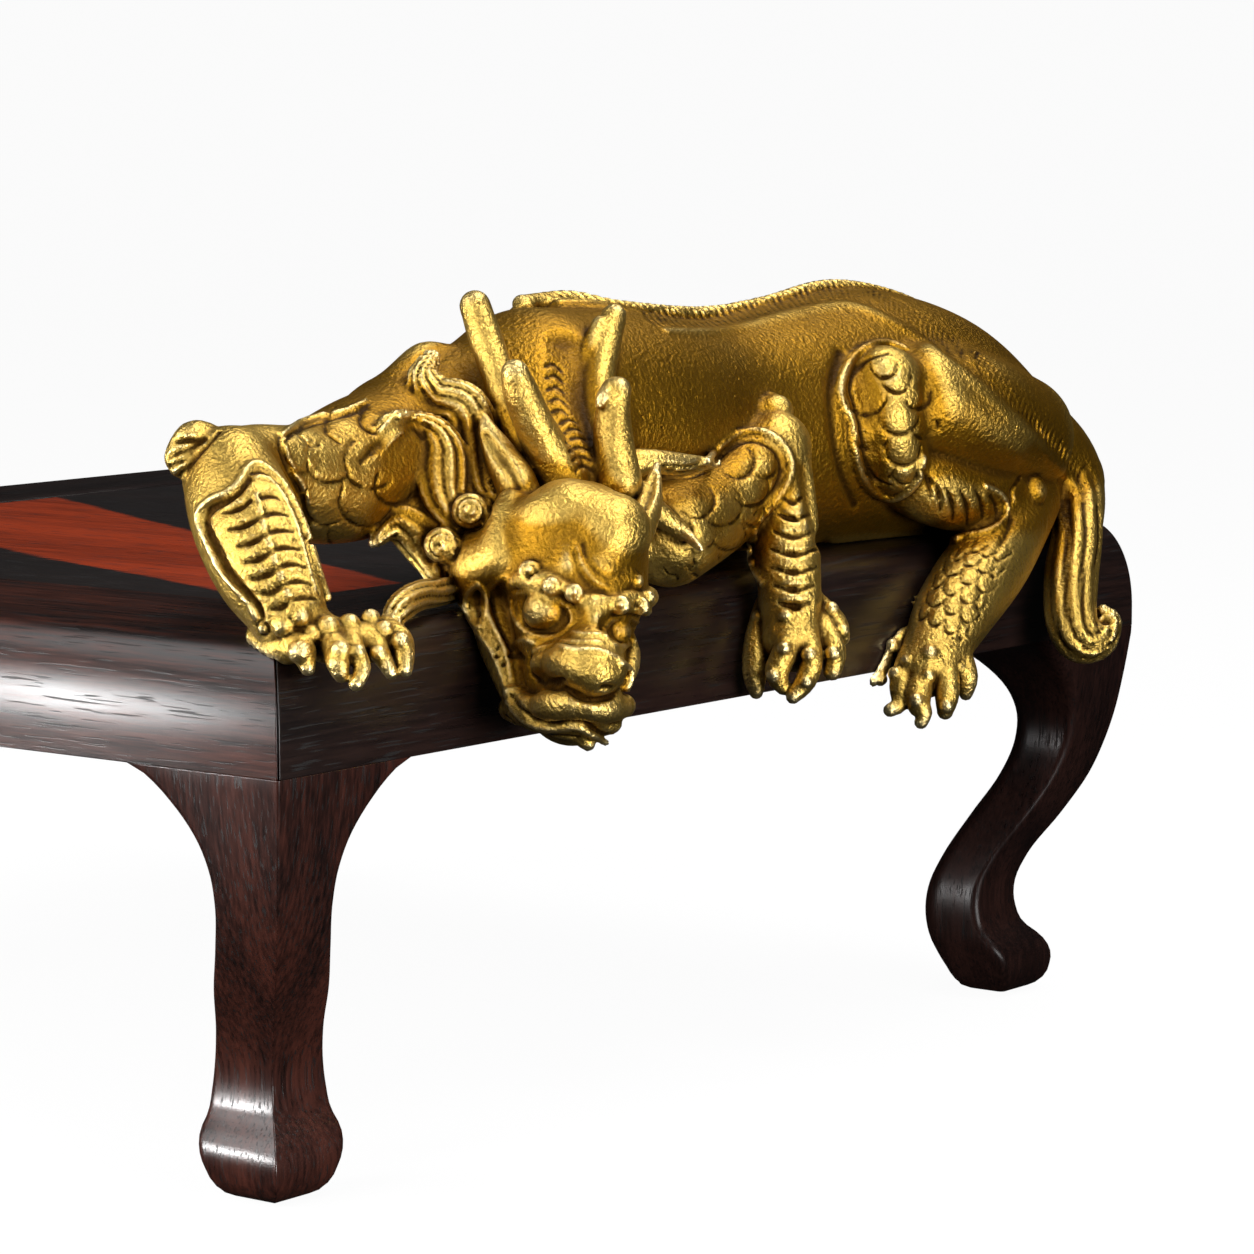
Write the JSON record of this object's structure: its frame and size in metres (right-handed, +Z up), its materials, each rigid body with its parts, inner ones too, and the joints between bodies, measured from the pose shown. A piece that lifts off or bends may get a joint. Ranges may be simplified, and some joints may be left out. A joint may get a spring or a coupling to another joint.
{
  "type": "crouching dragon figurine on display stand",
  "caption": "Cast bronze dragon lying along the front edge of a low wooden stand, its head, paws and tail hanging over the edge, on scroll-footed legs.",
  "frame": {"origin": "centre of the bounding box in X and Y, on the plane of the four soles in Z", "axes": "+X along the front edge of the stand to the tail side, -Y the side the head hangs over, +Z up"},
  "size_m": [0.24, 0.251, 0.1365],
  "materials": {
    "brass": "satin cast bronze, pale on worn edges, olive brown in the hollows",
    "rosewood": "polished dark rosewood, reddish grain with fine pores",
    "dark_panel": "polished dark wood with a red-brown streak"
  },
  "bodies": {
    "root": {"dragon": "brass", "rail_front": "rosewood", "rail_right": "rosewood", "rail_back": "rosewood", "rail_left": "rosewood", "top_panel": "dark_panel", "leg_front_left": "rosewood", "leg_front_right": "rosewood", "leg_back_right": "rosewood", "leg_back_left": "rosewood"}
  },
  "joints": []
}
